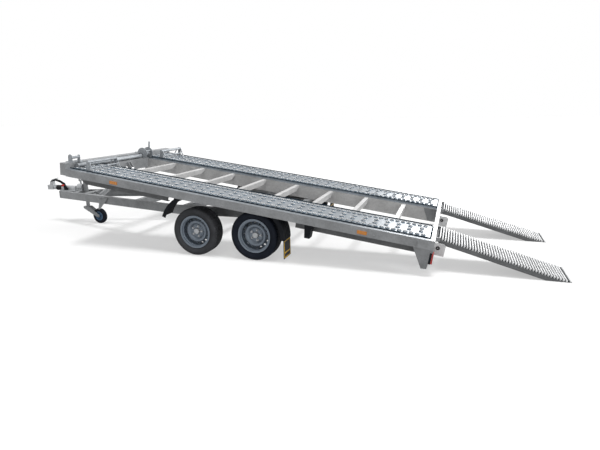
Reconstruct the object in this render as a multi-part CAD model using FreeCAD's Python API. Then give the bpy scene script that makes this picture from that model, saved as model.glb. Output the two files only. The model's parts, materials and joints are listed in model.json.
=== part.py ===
"""Tandem-axle tilt-bed car trailer, parked on its jockey wheel with the bed tipped and both ramps down.

Chassis frame: x = 0 above the front axle, +X rearward, y = 0 on the centre line, z = 0 on the ground.
Deck frame (u, y, h): u rearward from the deck's front edge, h up from its top face, with the deck level.
Ramp frame (s, y, t): s along the ramp from its hinge bar, t up from the bar, with the ramp level.
Every exported piece is moved so that the origin is on the ground at the middle of the overall length.
"""
import FreeCAD, Part
import math
import os

V = FreeCAD.Vector
Y_AXIS = V(0, 1, 0)

# ---------------------------------------------------------------- driving dimensions, mm
# wheels and axles
tyre_radius = 262.5
tyre_width = 195.0
tyre_wall = 11.0
bead_radius = 165.0
bead_half = 70.0
wheel_inset = 121.5
axle_spacing = 700.0
rim_gap = 0.3
rim_wall = 4.0
flange_height = 16.0
vent_count = 16
vent_radius = 11.5
vent_circle = 136.0
wheel_bolt_circle = 112.0
stub_radius = 20.0
running_gap = 0.05
drum_radius = 112.0
drum_wall = 8.0
axle_tube = 80.0
axle_lead = 150.0
trailing_arm_inset = 149.5
trailing_arm_width = 40.0

# drawbar and chassis
arm_lift = 97.5
arm_height = 102.0
arm_width = 50.0
arm_wall = 5.0
arm_nose_x = -2768.0
arm_nose_y = 60.0
arm_bend_x = -450.0
arm_straight_y = 600.0
arm_tail_x = 1050.0
latch_bracket_x = -1881.0

# coupling
nose_x = -3055.0
coupling_rise = 36.0
ball_socket_radius = 25.4
ball_socket_depth = 35.0
coupling_half_width = 40.0
overrun_tube_radius = 25.0
gaiter_radius = 38.0
housing_half_width = 72.0

# jockey wheel
jockey_x = -2365.0
jockey_trail = 192.0
jockey_radius = 109.0
jockey_half_width = 27.0
jockey_rim_radius = 66.0
jockey_tube_radius = 30.0
jockey_leg_gap = 0.4
jockey_sleeve_wall = 5.0
jockey_pin_radius = 8.0
jockey_fork_gap = 25.0
jockey_travel = 120.0
jockey_head_rise = 138.0

# deck
pivot_x = 325.0
pivot_rise = 70.0
deck_lead = 1997.0
tyre_headroom = 27.5
deck_tilt = 7.98
deck_length = 4175.0
deck_half_width = 1046.0
rail_wall = 4.0
rail_depth = 88.0
rail_lip = 10.0
rail_flange = 46.0
track_inner = 430.0
plank_inner = 478.0
ledge_drop = 18.0
front_wall_u = (0.0, 50.0)
wall_notch = 110.0
track_plate = 3.0
track_rib_depth = 40.0
track_rib_wall = 4.0
track_rib_margin = (82.0, 206.0)
guard_margin = (95.5, 16.0)
guard_wall = 4.0
guard_front_gap = 152.5
guard_rear_gap = 82.5
guard_lip = 44.0
flap_bottom = 45.0
beam_bottom = -180.0
beam_flange = 20.0
beam_wall = 4.0
stringer_inset = 141.0
stringer_depth = 178.0
stringer_front = (20.0, 1290.0)
stringer_rear_start = 2800.0
front_beam_u = (-78.0, -8.0)
front_beam_h = (-81.0, 60.0)
rear_beam_width = 38.0
rear_beam_depth = 100.0
rib_count = 8
rib_first = 491.0
rib_last_bay = 398.0
rib_width = 46.0
rib_top = -25.0
rib_bottom = -88.0
pivot_pin_radius = 20.0
lug_thickness = 8.0
lug_boss_radius = 44.0
lamp_setback = 25.0
lamp_h = (-226.0, -120.0)
lashing_eye_radius = 13.0

# ramps
ramp_side_gap = (17.0, 37.0)
ramp_length = 1190.0
ramp_top = 22.0
ramp_bottom = -43.0
ramp_tip = 12.0
ramp_bevel = 200.0
ramp_wall = 6.0
hinge_setback = 25.0
hinge_h = -20.0
hinge_bar_radius = 10.0
hinge_gap = 0.4
ear_thickness = 8.0
grate_count = 44

# tilt cylinder
cylinder_foot_x = -2130.0
cylinder_foot_rise = 40.0
cylinder_eye_u = 100.0
cylinder_eye_h = -110.0
cylinder_radius = 33.0
cylinder_length = 430.0
rod_radius = 16.0
eye_radius = 24.0
eye_half = 17.0
lug_gap = 5.0
eye_pin_radius = 9.0
eye_overlap = 8.0
rod_insertion = 200.0

# winch and front fittings
winch_y = (310.0, 438.0)
winch_radius = 80.0
drum_u, drum_h = 38.0, 58.0
front_tube_radius = 25.0
front_tube_u = 28.0
stop_u = 176.0

clearance = 0.3

# ---------------------------------------------------------------- worked-out sizes
tilt = math.radians(deck_tilt)
hub_z = tyre_radius
flange_radius = bead_radius + flange_height
arm_bottom = hub_z + arm_lift
arm_top = arm_bottom + arm_height
coupling_z = arm_top + coupling_rise
pivot_z = arm_bottom + pivot_rise
deck_height = arm_bottom + tyre_radius + tyre_headroom
cylinder_foot_z = arm_bottom + cylinder_foot_rise
jockey_fork_top = 2 * jockey_radius + jockey_fork_gap
jockey_head_z = arm_top + jockey_head_rise
jockey_leg_radius = jockey_tube_radius - jockey_sleeve_wall - jockey_leg_gap
wheel_xs = {"front": 0.0, "rear": axle_spacing}
wheel_y = deck_half_width - wheel_inset
disc_y = wheel_y + 14.0
trailing_arm_inner = wheel_y - trailing_arm_inset
guard_y = (wheel_y - guard_margin[0], deck_half_width - guard_margin[1])
guard_front_radius = tyre_radius + guard_front_gap
guard_rear_radius = tyre_radius + guard_rear_gap
beam_outer = track_inner + beam_flange
deck_front_x = pivot_x - deck_lead
rear_beam_u = (deck_length - rear_beam_width, deck_length)
rear_beam_end = rear_beam_u[1]
rib_pitch = (rear_beam_u[0] - rib_last_bay - rib_first) / (rib_count - 1)
stringer_y = deck_half_width - stringer_inset
stringer_rear = (stringer_rear_start, rear_beam_u[0] - 3.0)
rib_in_y = plank_inner + track_rib_margin[0]
rib_out_y = deck_half_width - track_rib_margin[1]
track_rib_y = (rib_in_y, (rib_in_y + rib_out_y) / 2, rib_out_y)
ramp_inner = track_inner + ramp_side_gap[0]
ramp_outer = stringer_y - ramp_side_gap[1]
hinge_u = rear_beam_end + hinge_setback
front_tube_y = (146.0 - deck_half_width, winch_y[0] - 18.0)
post_y = (116.0 - deck_half_width, 250.0 - deck_half_width)
stop_y = (plank_inner + 6.0, deck_half_width - 96.0)


# ---------------------------------------------------------------- shape helpers
def box(x0, x1, y0, y1, z0, z1):
    return Part.makeBox(x1 - x0, y1 - y0, z1 - z0, V(x0, y0, z0))


def rod(start, end, radius):
    a, b = V(*start), V(*end)
    return Part.makeCylinder(radius, (b - a).Length, a, b - a)


def tube(start, end, outer, inner):
    return rod(start, end, outer).cut(rod(start, end, inner))


def prism(points, along):
    """Close the points into a face and push it along a vector."""
    loop = [V(*p) for p in points]
    face = Part.Face(Part.makePolygon(loop + loop[:1]))
    return face.extrude(V(*along))


def side_plate(outline, y0, y1):
    """A plate seen from the side: outline in x, z; thickness from y0 to y1."""
    return prism([(x, y0, z) for x, z in outline], (0, y1 - y0, 0))


def fuse(shapes):
    return shapes[0].multiFuse(shapes[1:]).removeSplitter() if len(shapes) > 1 else shapes[0]


def mirror(shape):
    return shape.mirror(V(0, 0, 0), Y_AXIS)


def pair(shape):
    """The piece given for the right side and its mirror image on the left."""
    return [shape, mirror(shape)]


def turned(profile, centre):
    """Turn a profile in y, z (z is the radius) about the y axis and put it at the centre."""
    face = Part.Face(Part.Wire(profile))
    solid = face.revolve(V(0, 0, 0), Y_AXIS, 360)
    solid.translate(V(*centre))
    return solid


def outline(points):
    loop = [V(0, y, r) for y, r in points]
    loop.append(loop[0])
    return [Part.LineSegment(a, b).toShape() for a, b in zip(loop, loop[1:])]


def on_deck(shape):
    """From the deck frame to the parked position, tipped about the pivot."""
    placed = shape.copy()
    placed.translate(V(deck_front_x, 0, deck_height))
    placed.rotate(V(pivot_x, 0, pivot_z), Y_AXIS, deck_tilt)
    return placed


def deck_point(u, h):
    """Chassis-frame x, z of a deck-frame point in the parked position."""
    dx = deck_front_x + u - pivot_x
    dz = deck_height + h - pivot_z
    x = pivot_x + dx * math.cos(tilt) + dz * math.sin(tilt)
    z = pivot_z - dx * math.sin(tilt) + dz * math.cos(tilt)
    return x, z


def arm_y(x, offset=0.0):
    """Distance of a drawbar arm's line, moved outward by an offset, from the centre line."""
    bend_y = arm_straight_y + offset
    if x >= arm_bend_x:
        return bend_y
    run = arm_bend_x - arm_nose_x
    nose_y = arm_nose_y + offset * math.hypot(1, (arm_straight_y - arm_nose_y) / run)
    return nose_y + (x - arm_nose_x) * (bend_y - nose_y) / run


# ---------------------------------------------------------------- ramp attitude
hinge_x, hinge_z = deck_point(hinge_u, hinge_h)
ramp_angle = math.atan2(ramp_tip, ramp_length) + math.asin(hinge_z / math.hypot(ramp_length, ramp_tip))
tip_x = hinge_x + ramp_length * math.cos(ramp_angle) + ramp_top * math.sin(ramp_angle)
middle_x = (nose_x + tip_x) / 2


def save(node, shapes):
    solids = [s for shape in shapes for s in shape.Solids]
    shape = solids[0] if len(solids) == 1 else Part.makeCompound(solids)
    shape = shape.copy()
    shape.translate(V(-middle_x, 0, 0))
    shape.exportStep("parts/%s.step" % node)


# ---------------------------------------------------------------- chassis
def drawbar_arm():
    """Channel, open inward: angled from the coupling to the bend, then straight past the axles."""
    def strip(outer, inner, z0, z1, x0, x1):
        xs = [x0, arm_bend_x, x1]
        edge = [(x, arm_y(x, outer), z0) for x in xs]
        back = [(x, arm_y(x, inner), z0) for x in reversed(xs)]
        return prism(edge + back, (0, 0, z1 - z0))

    half = arm_width / 2
    body = strip(half, -half, arm_bottom, arm_top, arm_nose_x, arm_tail_x)
    hollow = strip(half - arm_wall, -half - arm_wall, arm_bottom + arm_wall, arm_top - arm_wall,
                   arm_nose_x - arm_wall, arm_tail_x + arm_wall)
    return body.cut(hollow)


def cross_member(x0, x1, z0, z1):
    """Bar between the two arms' webs."""
    reach = arm_width / 2 - arm_wall
    points = [(x0, -arm_y(x0, reach)), (x1, -arm_y(x1, reach)), (x1, arm_y(x1, reach)), (x0, arm_y(x0, reach))]
    return prism([(x, y, z0) for x, y in points], (0, 0, z1 - z0))


def cross_members():
    low = arm_bottom + arm_wall + 1
    high = arm_top - arm_wall - 1
    tubes = []
    for x0, width, top in ((-2300, 60, high), (-1240, 80, high), (-420, 80, high), (800, 80, arm_bottom + 32)):
        outer = cross_member(x0, x0 + width, low, top)
        hollow = cross_member(x0 + arm_wall, x0 + width - arm_wall, low + arm_wall, top - arm_wall)
        tubes.append(outer.cut(hollow))
    nose = box(arm_nose_x - 8, arm_nose_x, -arm_nose_y - 30, arm_nose_y + 30, arm_bottom + 2, arm_top)
    tubes[0] = tubes[0].fuse(cylinder_bracket())
    return tubes + [nose]


def cylinder_bracket():
    """Two ears on the rear face of the front cross member, with the cylinder's foot pin between them."""
    x_face = -2300 + 60
    ear_y = cylinder_radius + 6
    outline_xz = [(x_face, arm_bottom + 8), (x_face, arm_top - 8),
                  (cylinder_foot_x + 22, cylinder_foot_z + 22), (cylinder_foot_x + 22, cylinder_foot_z - 22)]
    ears = [side_plate(outline_xz, ear_y, ear_y + 8), side_plate(outline_xz, -ear_y - 8, -ear_y)]
    pin = rod((cylinder_foot_x, -ear_y - 8, cylinder_foot_z), (cylinder_foot_x, ear_y + 8, cylinder_foot_z),
              eye_pin_radius)
    return fuse(ears + [pin])


def axle(x):
    """Torsion axle: square tube under the arms, trailing arms, brake back plates and wheel stubs."""
    tube_x = x - axle_lead
    half = axle_tube / 2
    tube_y = trailing_arm_inner
    beam = box(tube_x - half, tube_x + half, -tube_y, tube_y, arm_bottom - axle_tube, arm_bottom)
    beam = beam.cut(box(tube_x - half + 5, tube_x + half - 5, -tube_y + 5, tube_y - 5,
                        arm_bottom - axle_tube + 5, arm_bottom - 5))
    pieces = [beam]
    arm_out = trailing_arm_inner + trailing_arm_width
    tube_z = arm_bottom - half
    for side in (1, -1):
        profile = [(tube_x - 34, tube_z - 30), (tube_x - 34, tube_z + 34), (tube_x + 30, tube_z + 34),
                   (x + 34, hub_z + 22), (x + 34, hub_z - 34), (x - 30, hub_z - 34)]
        y0, y1 = sorted((side * trailing_arm_inner, side * arm_out))
        pieces.append(side_plate(profile, y0, y1))
        pieces.append(rod((x, side * arm_out, hub_z), (x, side * (disc_y - 14), hub_z), stub_radius))
        back_plate_y = side * (arm_out + 20)
        pieces.append(rod((x, side * arm_out, hub_z), (x, back_plate_y, hub_z), 34))
        pieces.append(rod((x, back_plate_y, hub_z), (x, back_plate_y + side * 5, hub_z), drum_radius + 4))
    return fuse(pieces)


def pivot_pin():
    """Pin on the arm's web that the deck's lug turns on."""
    web_y = arm_straight_y + arm_width / 2 - arm_wall
    return rod((pivot_x, beam_outer + 6, pivot_z), (pivot_x, web_y, pivot_z), pivot_pin_radius)


def overrun_housing():
    x0, x1 = arm_nose_x - 12, -2500
    body = box(x0, x1, -housing_half_width, housing_half_width, arm_top, arm_top + 14)
    barrel_radius = coupling_z - arm_top
    barrel = rod((x0, 0, coupling_z), (x1 - 30, 0, coupling_z), barrel_radius)
    cheeks = box(x0, x1 - 40, -barrel_radius, barrel_radius, arm_top + 6, coupling_z)
    bore = rod((x0 - 1, 0, coupling_z), (x1 - 60, 0, coupling_z), overrun_tube_radius + clearance)
    return fuse([body, barrel, cheeks]).cut(bore)


def overrun_tube():
    return rod((nose_x + 150, 0, coupling_z), (-2565, 0, coupling_z), overrun_tube_radius)


def gaiter():
    """Ribbed rubber sleeve over the overrun tube."""
    x0, x1, folds = nose_x + 170, arm_nose_x - 12 - clearance, 6
    pitch = (x1 - x0) / folds
    points = [(x0, overrun_tube_radius + clearance)]
    for i in range(folds):
        points += [(x0 + i * pitch, gaiter_radius - 7), (x0 + (i + 0.5) * pitch, gaiter_radius)]
    points += [(x1, gaiter_radius - 7), (x1, overrun_tube_radius + clearance)]
    face = Part.Face(Part.makePolygon([V(x, 0, r) for x, r in points + points[:1]]))
    solid = face.revolve(V(0, 0, 0), V(1, 0, 0), 360)
    solid.translate(V(0, 0, coupling_z))
    return solid


def coupling_head():
    ball_x = nose_x + coupling_half_width
    z0, z1 = coupling_z - 28, coupling_z + 34
    nose = rod((ball_x, 0, z0), (ball_x, 0, z1), coupling_half_width)
    body = box(ball_x, nose_x + 120, -coupling_half_width, coupling_half_width, z0, z1)
    neck = rod((nose_x + 110, 0, coupling_z), (nose_x + 168, 0, coupling_z), 31)
    socket = rod((ball_x, 0, z0 - 1), (ball_x, 0, z0 + ball_socket_depth), ball_socket_radius)
    return fuse([nose, body, neck, overrun_tube()]).cut(socket)


def coupling_handle():
    """Bent lever over the coupling head."""
    z0 = coupling_z + 34
    profile = [(52, 0), (112, 0), (112, 24), (122, 70), (190, 96), (190, 108), (104, 86), (62, 50)]
    return side_plate([(nose_x + x, z0 + z) for x, z in profile], -20, 20)


def handbrake():
    """Lever pivoted on the side of the overrun housing, lying forward over the gaiter."""
    base = arm_top + 14
    y0, y1 = housing_half_width - 26, housing_half_width - 8
    profile = [(-2700, base), (-2640, base), (-2690, base + 100), (-2760, base + 136), (-2840, base + 156),
               (-2925, base + 130), (-2935, base + 112), (-2840, base + 130), (-2765, base + 108),
               (-2712, base + 76)]
    return side_plate(profile, -y1, -y0)


def handbrake_grip():
    base = arm_top + 14
    y = housing_half_width - 17
    return rod((-2704, -y - 9 - 24, base + 68), (-2704, -y - 9, base + 68), 15)


def hand_pump():
    """Hydraulic hand pump with its tank, on a plate between the arms."""
    plate = box(-2460, -2400, -130, 130, arm_top, arm_top + 8)
    tank = rod((-2490, 0, arm_top + 58), (-2402, 0, arm_top + 58), 46)
    block = box(-2496, -2404, -34, 34, arm_top + 8, arm_top + 40)
    lever = rod((-2446, 0, arm_top + 90), (-2446, 0, arm_top + 160), 12)
    return fuse([plate, block, tank, lever])


def jockey_sleeve():
    """Outer tube of the jockey wheel, clamped to the front cross member."""
    inner = jockey_tube_radius - jockey_sleeve_wall
    z0, z1 = jockey_fork_top + jockey_travel + 17, jockey_head_z
    sleeve = tube((jockey_x, 0, z0), (jockey_x, 0, z1), jockey_tube_radius, inner)
    cap = rod((jockey_x, 0, z1), (jockey_x, 0, z1 + 8), jockey_tube_radius + 2)
    block = box(jockey_x + 20, -2300, -45, 45, arm_bottom + 30, arm_top - 12)
    block = block.cut(rod((jockey_x, 0, 0), (jockey_x, 0, z1), jockey_tube_radius - 1))
    return fuse([sleeve, cap, block, jockey_crank()])


def jockey_crank():
    z0 = jockey_head_z + 8
    post = rod((jockey_x, 0, z0), (jockey_x, 0, z0 + 22), 9)
    arm = box(jockey_x - 8, jockey_x + 8, -110, 12, z0 + 12, z0 + 20)
    grip = rod((jockey_x, -102, z0 + 20), (jockey_x, -102, z0 + 80), 11)
    return fuse([post, arm, grip])


def latch_bracket():
    """V-shaped hanger on the outside of the left arm."""
    x0 = latch_bracket_x
    top = arm_top - 10
    y = arm_y(x0 + 60, arm_width / 2)
    hanger = [(x0 + 38, top), (x0 + 62, top), (x0 + 66, top - 32), (x0 + 150, top), (x0 + 190, top),
              (x0 + 84, top - 102), (x0 + 24, top - 167), (x0, top - 167), (x0 + 22, top - 102)]
    plate = side_plate(hanger, -y - 34, -y - 26)
    foot = box(x0 + 40, x0 + 150, -y - 26, -y + 4, top - 16, top)
    face = [(x, -arm_y(x, arm_width / 2), top - 200) for x in (x0 - 200, x0 + 400)]
    away = [(x, y - 200, z) for x, y, z in reversed(face)]
    outside = prism(face + away, (0, 0, 400))
    return fuse([plate, foot]).common(outside)


# ---------------------------------------------------------------- wheels
def tyre(x, side):
    """Carcass open towards the rim, with rounded shoulders."""
    half = tyre_width / 2
    mid_r = (bead_radius + tyre_radius) / 2 + 10

    def carcass(inset, bead):
        top = tyre_radius - inset
        side_y = half - inset
        bead_y = bead_half - inset
        low, high = V(0, bead_y, bead_radius + 19), V(0, half - 25, top)
        bulge = V(0, side_y, mid_r)
        low_m, high_m, bulge_m = (V(0, -p.y, p.z) for p in (low, high, bulge))
        foot, foot_m = V(0, bead_y, bead), V(0, -bead_y, bead)
        edges = [Part.LineSegment(foot_m, foot), Part.LineSegment(foot, low), Part.Arc(low, bulge, high),
                 Part.LineSegment(high, high_m), Part.Arc(high_m, bulge_m, low_m),
                 Part.LineSegment(low_m, foot_m)]
        return turned([e.toShape() for e in edges], (x, side * wheel_y, hub_z))

    return carcass(0, bead_radius).cut(carcass(tyre_wall, bead_radius - 5))


def rim(x, side):
    """Steel rim: barrel with flanges and a dished disc with vent holes, its face turned outward."""
    r1 = bead_radius - rim_gap
    r0 = r1 - rim_wall
    edge = bead_half + clearance
    barrel = outline([(-edge - 8, r0), (edge + 8, r0), (edge + 8, flange_radius), (edge, flange_radius),
                      (edge, r1), (-edge, r1), (-edge, flange_radius), (-edge - 8, flange_radius)])
    hub_face = disc_y - wheel_y
    t = 6.0
    disc = outline([(hub_face, 30), (hub_face, 72), (hub_face + 22, 96), (hub_face + 22, 112),
                    (hub_face + 8, 126), (hub_face - 8, 150), (hub_face - 8, r0 + 1),
                    (hub_face - 8 + t, r0 + 1), (hub_face + 1, 150), (hub_face + 8 + t, 128),
                    (hub_face + 22 + t, 114), (hub_face + 22 + t, 94), (hub_face + t, 72), (hub_face + t, 30)])
    body = turned(barrel, (0, 0, 0)).fuse(turned(disc, (0, 0, 0)))
    holes = []
    for i in range(vent_count):
        a = 2 * math.pi * i / vent_count
        p = (vent_circle * math.cos(a), hub_face - 30, vent_circle * math.sin(a))
        holes.append(rod(p, (p[0], hub_face + 40, p[2]), vent_radius))
    for i in range(5):
        a = 2 * math.pi * i / 5
        p = (wheel_bolt_circle / 2 * math.cos(a), hub_face - 5, wheel_bolt_circle / 2 * math.sin(a))
        holes.append(rod(p, (p[0], hub_face + 30, p[2]), 7))
    body = body.cut(holes)
    if side < 0:
        body = mirror(body)
    body.translate(V(x, side * wheel_y, hub_z))
    return body


def brake_drum(x, side):
    """Drum and hub turning on the stub, with the wheel bolts and a dust cap."""
    y0 = trailing_arm_inner + trailing_arm_width + 32
    y1 = disc_y - clearance
    shell = [(y0, drum_radius - drum_wall), (y1 - drum_wall, drum_radius - drum_wall), (y1 - drum_wall, 36),
             (y0 + 6, 36), (y0 + 6, stub_radius + running_gap), (y1, stub_radius + running_gap),
             (y1, drum_radius), (y0, drum_radius)]
    body = turned(outline(shell), (0, 0, 0))
    cap = rod((0, y1 - 4, 0), (0, y1 + 34, 0), 28)
    bolts = []
    for i in range(5):
        a = 2 * math.pi * i / 5
        p = (wheel_bolt_circle / 2 * math.cos(a), y1 - 2, wheel_bolt_circle / 2 * math.sin(a))
        bolts.append(rod(p, (p[0], y1 + 20, p[2]), 6))
    body = fuse([body, cap] + bolts)
    if side < 0:
        body = mirror(body)
    body.translate(V(x, 0, hub_z))
    return body


# ---------------------------------------------------------------- jockey wheel
def jockey_leg():
    z0 = jockey_fork_top + 3
    stem = tube((jockey_x, 0, z0), (jockey_x, 0, z0 + 230), jockey_leg_radius, jockey_leg_radius - 4)
    plug = tube((jockey_x, 0, z0), (jockey_x, 0, z0 + 30), jockey_leg_radius - 3, 10 + running_gap)
    return fuse([stem, plug])


def jockey_fork():
    """Channel trailing from the swivel down to the wheel's axle."""
    axle_x = jockey_x + jockey_trail
    top = jockey_fork_top
    leg = [(jockey_x - 52, top), (jockey_x + 32, top), (axle_x + 14, jockey_radius + 16),
           (axle_x + 18, jockey_radius - 4), (axle_x + 2, jockey_radius - 20),
           (axle_x - 24, jockey_radius - 14), (jockey_x - 52, top - 28)]
    gap = jockey_half_width + 6
    legs = [side_plate(leg, gap, gap + 5), side_plate(leg, -gap - 5, -gap)]
    crown = box(jockey_x - 52, jockey_x + 32, -gap - 5, gap + 5, top - 6, top)
    back_x = jockey_x - 52
    back = side_plate([(back_x, top - 28), (back_x, top), (back_x + 6, top), (back_x + 6, top - 32)],
                      -gap - 5, gap + 5)
    swivel = rod((jockey_x, 0, top - 6), (jockey_x, 0, top + 28), 10)
    axle_pin = rod((axle_x, -gap - 12, jockey_radius), (axle_x, gap + 12, jockey_radius), jockey_pin_radius)
    return fuse(legs + [crown, back, swivel, axle_pin])


def jockey_tyre():
    half, r = jockey_half_width, jockey_radius
    profile = [(-half, jockey_rim_radius), (half, jockey_rim_radius), (half, r - 12), (half - 9, r - 2),
               (half - 16, r), (16 - half, r), (9 - half, r - 2), (-half, r - 12)]
    return turned(outline(profile), (jockey_x + jockey_trail, 0, r))


def jockey_rim():
    half, r = jockey_half_width, jockey_rim_radius - clearance
    bore = jockey_pin_radius + running_gap
    profile = [(-half - 2, bore), (half + 2, bore), (half + 2, 20), (8, 24), (8, 46), (half - 2, 52),
               (half - 2, r), (2 - half, r), (2 - half, 52), (-8, 46), (-8, 24), (-half - 2, 20)]
    return turned(outline(profile), (jockey_x + jockey_trail, 0, jockey_radius))


# ---------------------------------------------------------------- deck
def side_rail():
    w = deck_half_width
    u1 = rear_beam_u[0]
    web = box(0, rear_beam_end, w - rail_wall, w, -rail_depth, 0)
    flange = box(0, u1, w - rail_flange, w - rail_wall, -track_plate - rail_wall, -track_plate)
    lip = box(0, u1, w - rail_wall - rail_lip, w - rail_wall, -rail_depth, -rail_depth + rail_wall)
    return fuse([web, flange, lip])


def inner_beam():
    """Channel with its web towards the bed's opening."""
    top, bottom = -ledge_drop - track_plate, beam_bottom
    u0, u1 = 0, rear_beam_u[0]
    web = box(u0, u1, track_inner, track_inner + beam_wall, bottom, top)
    flanges = [box(u0, u1, track_inner, beam_outer, bottom, bottom + beam_wall),
               box(u0, u1, track_inner, beam_outer, top - beam_wall, top)]
    return fuse([web] + flanges)


def stringers():
    """Short channels under the tracks, ahead of and behind the wheels; the front one is tapered."""
    pieces = []
    bottom = -stringer_depth
    top = -track_plate
    slope = 150.0
    for u0, u1 in (stringer_front, stringer_rear):
        taper = slope if u0 < 100 else 0.0
        front_bottom = -rail_depth if taper else bottom
        web = [(u0, top), (u1, top), (u1, bottom), (u0 + taper, bottom), (u0, front_bottom)]
        y0, y1 = stringer_y, stringer_y + 5
        flange = box(u0 + taper, u1, y0 - 30, y0, bottom, bottom + 5)
        pieces.append(fuse([side_plate(web, y0, y1), flange]))
    return pieces


def track():
    """Tread plate, stepped down to a ledge on the inner beam, with folded stiffeners beneath it."""
    outer = deck_half_width - rail_wall
    u1 = rear_beam_u[0]
    plate = box(0, u1, plank_inner, outer, -track_plate, 0)
    step = box(0, u1, plank_inner, plank_inner + track_plate, -ledge_drop - track_plate, 0)
    ledge = box(0, u1, track_inner, plank_inner + track_plate, -ledge_drop - track_plate, -ledge_drop)
    stiffeners = [box(0, u1, y, y + track_rib_wall, -track_rib_depth, -track_plate) for y in track_rib_y]
    return fuse([plate, step, ledge] + stiffeners)


def front_beam():
    u0, u1 = front_beam_u
    h0, h1 = front_beam_h
    w = deck_half_width
    outer = box(u0, u1, -w, w, h0, h1)
    outer = outer.cut(box(u0 + 4, u1 - 4, 4 - w, w - 4, h0 + 4, h1 - 4))
    drains = pair(rod(((u0 + u1) / 2, w - 60, h0 - 1), ((u0 + u1) / 2, w - 60, h0 + 5), 12))
    joint = box(u1, 0, -w, w, h0, 0)
    return fuse([outer.cut(drains), joint])


def rear_beam():
    u0, u1 = rear_beam_u
    w = deck_half_width - rail_wall
    outer = box(u0, u1, -w, w, -rear_beam_depth, 0)
    return outer.cut(box(u0 + 4, u1 - 4, -w - 1, w + 1, -rear_beam_depth + 4, -4))


def ribs():
    """Folded cross bearers across the opening, with tapered ends and a flat top."""
    y1 = track_inner
    pieces = []
    for i in range(rib_count):
        u0 = rib_first + i * rib_pitch - rib_width / 2
        side = [(-y1, rib_top), (y1, rib_top), (y1, rib_top - 26), (y1 - 90, rib_bottom),
                (90 - y1, rib_bottom), (-y1, rib_top - 26)]
        body = prism([(u0, y, h) for y, h in side], (rib_width, 0, 0))
        hollow = box(u0 + 4, u0 + rib_width - 4, -y1 - 1, y1 + 1, rib_bottom - 1, rib_top - 4)
        pieces.append(body.cut(hollow))
    return pieces


def front_wall():
    """Cross member at the front of the opening, with lugs and pin ends for the eye of the cylinder's rod."""
    u0, u1 = front_wall_u
    top = -track_plate - 2
    wall = box(u0, u1, -track_inner, track_inner, -150, top)
    wall = wall.cut(box(u0 + 5, u1 - 5, -track_inner - 1, track_inner + 1, -151, top - 5))
    wall = wall.cut(box(u0 - 1, u1 + 1, -wall_notch / 2, wall_notch / 2, -151, -84))
    u, h = cylinder_eye_u, cylinder_eye_h
    lug_y = eye_half + lug_gap
    lug = [(u1, -30), (u1, -84), (u - 20, h - 14), (u - 8, h - 26), (u + 10, h - 26), (u + 24, h - 8),
           (u + 24, h + 12), (u1 + 20, -30)]
    lugs = [side_plate(lug, lug_y, lug_y + 8), side_plate(lug, -lug_y - 8, -lug_y)]
    ends = pair(rod((u, eye_half + 1, h), (u, lug_y + 8, h), eye_pin_radius))
    return fuse([wall] + lugs + ends)


def rear_gusset():
    """Triangular plate on the inner beam's web at the rear of the opening."""
    u1 = rear_beam_u[0]
    profile = [(u1 - 160, rib_top), (u1, rib_top), (u1, beam_bottom + 6), (u1 - 40, beam_bottom + 6),
               (u1 - 88, beam_bottom + 6)]
    return side_plate(profile, track_inner - 6, track_inner)


def pivot_lug():
    """Plate on the inner beam's flanges with a bored boss for the pivot pin."""
    u, h = deck_lead, pivot_z - deck_height
    y0, y1 = beam_outer, beam_outer + lug_thickness
    top = -ledge_drop - track_plate - 8
    plate = side_plate([(u - 120, top), (u + 120, top), (u + 120, -110), (u + 40, h - 20), (u - 40, h - 20),
                        (u - 120, -110)], y0, y1)
    boss = rod((u, y0, h), (u, arm_straight_y - arm_width / 2 - 12, h), lug_boss_radius)
    bore = rod((u, y0 - 1, h), (u, arm_straight_y, h), pivot_pin_radius + running_gap)
    return fuse([plate, boss]).cut(bore)


def under_deck(shape, depth):
    """Trim a hanging piece to what lies below a depth under the deck's top."""
    return shape.common(on_deck(box(-200, deck_length + 200, 0, deck_half_width, -1500, -depth)))


def mudguards():
    """Quarter guards ahead of the front wheel and behind the rear wheel, each on a strap from the track."""
    y0, y1 = guard_y
    strap_y = track_rib_y[-1] + track_rib_wall
    pieces = []
    for x, radius, start, end, strap_degrees in ((0.0, guard_front_radius, 106.0, 157.0, 140.0),
                                                 (axle_spacing, guard_rear_radius, -4.0, 44.0, 30.0)):
        def at(angle, r):
            a = math.radians(angle)
            return V(x + r * math.cos(a), y0, hub_z + r * math.sin(a))
        mid = (start + end) / 2
        def band(inner):
            return Part.Face(Part.Wire([
                Part.Arc(at(start, radius), at(mid, radius), at(end, radius)).toShape(),
                Part.LineSegment(at(end, radius), at(end, inner)).toShape(),
                Part.Arc(at(end, inner), at(mid, inner), at(start, inner)).toShape(),
                Part.LineSegment(at(start, inner), at(start, radius)).toShape()]))
        lip = band(radius - guard_lip).extrude(V(0, guard_wall, 0))
        lip.translate(V(0, y1 - y0 - guard_wall, 0))
        guard = under_deck(band(radius - guard_wall).extrude(V(0, y1 - y0, 0)).fuse(lip), track_rib_depth)
        strap_angle = math.radians(strap_degrees)
        strap_at = x + (radius + 1) * math.cos(strap_angle)
        strap = box(strap_at - 3, strap_at + 3, strap_y, strap_y + 22,
                    hub_z + (radius - guard_wall / 2) * math.sin(strap_angle), deck_height + 600)
        pieces.append(fuse([guard, under_deck(strap, track_plate)]))
    return pieces


def mud_flap():
    """Rubber flap hanging inside the rear guard's lower end."""
    end = math.radians(-4.0)
    x1 = axle_spacing + (guard_rear_radius - guard_wall) * math.cos(end) - 0.2
    return box(x1 - 6, x1, guard_y[0], guard_y[1] - guard_wall - clearance, flap_bottom, hub_z)


def chock():
    """Wheel chock stowed in its holder under the rail."""
    u0 = deck_lead + 935.0
    profile = [(0, -rail_depth), (100, -rail_depth), (74, -128), (66, -224), (12, -224), (4, -128)]
    return side_plate([(u0 + u, h) for u, h in profile], deck_half_width - 96, deck_half_width - rail_wall)


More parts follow.
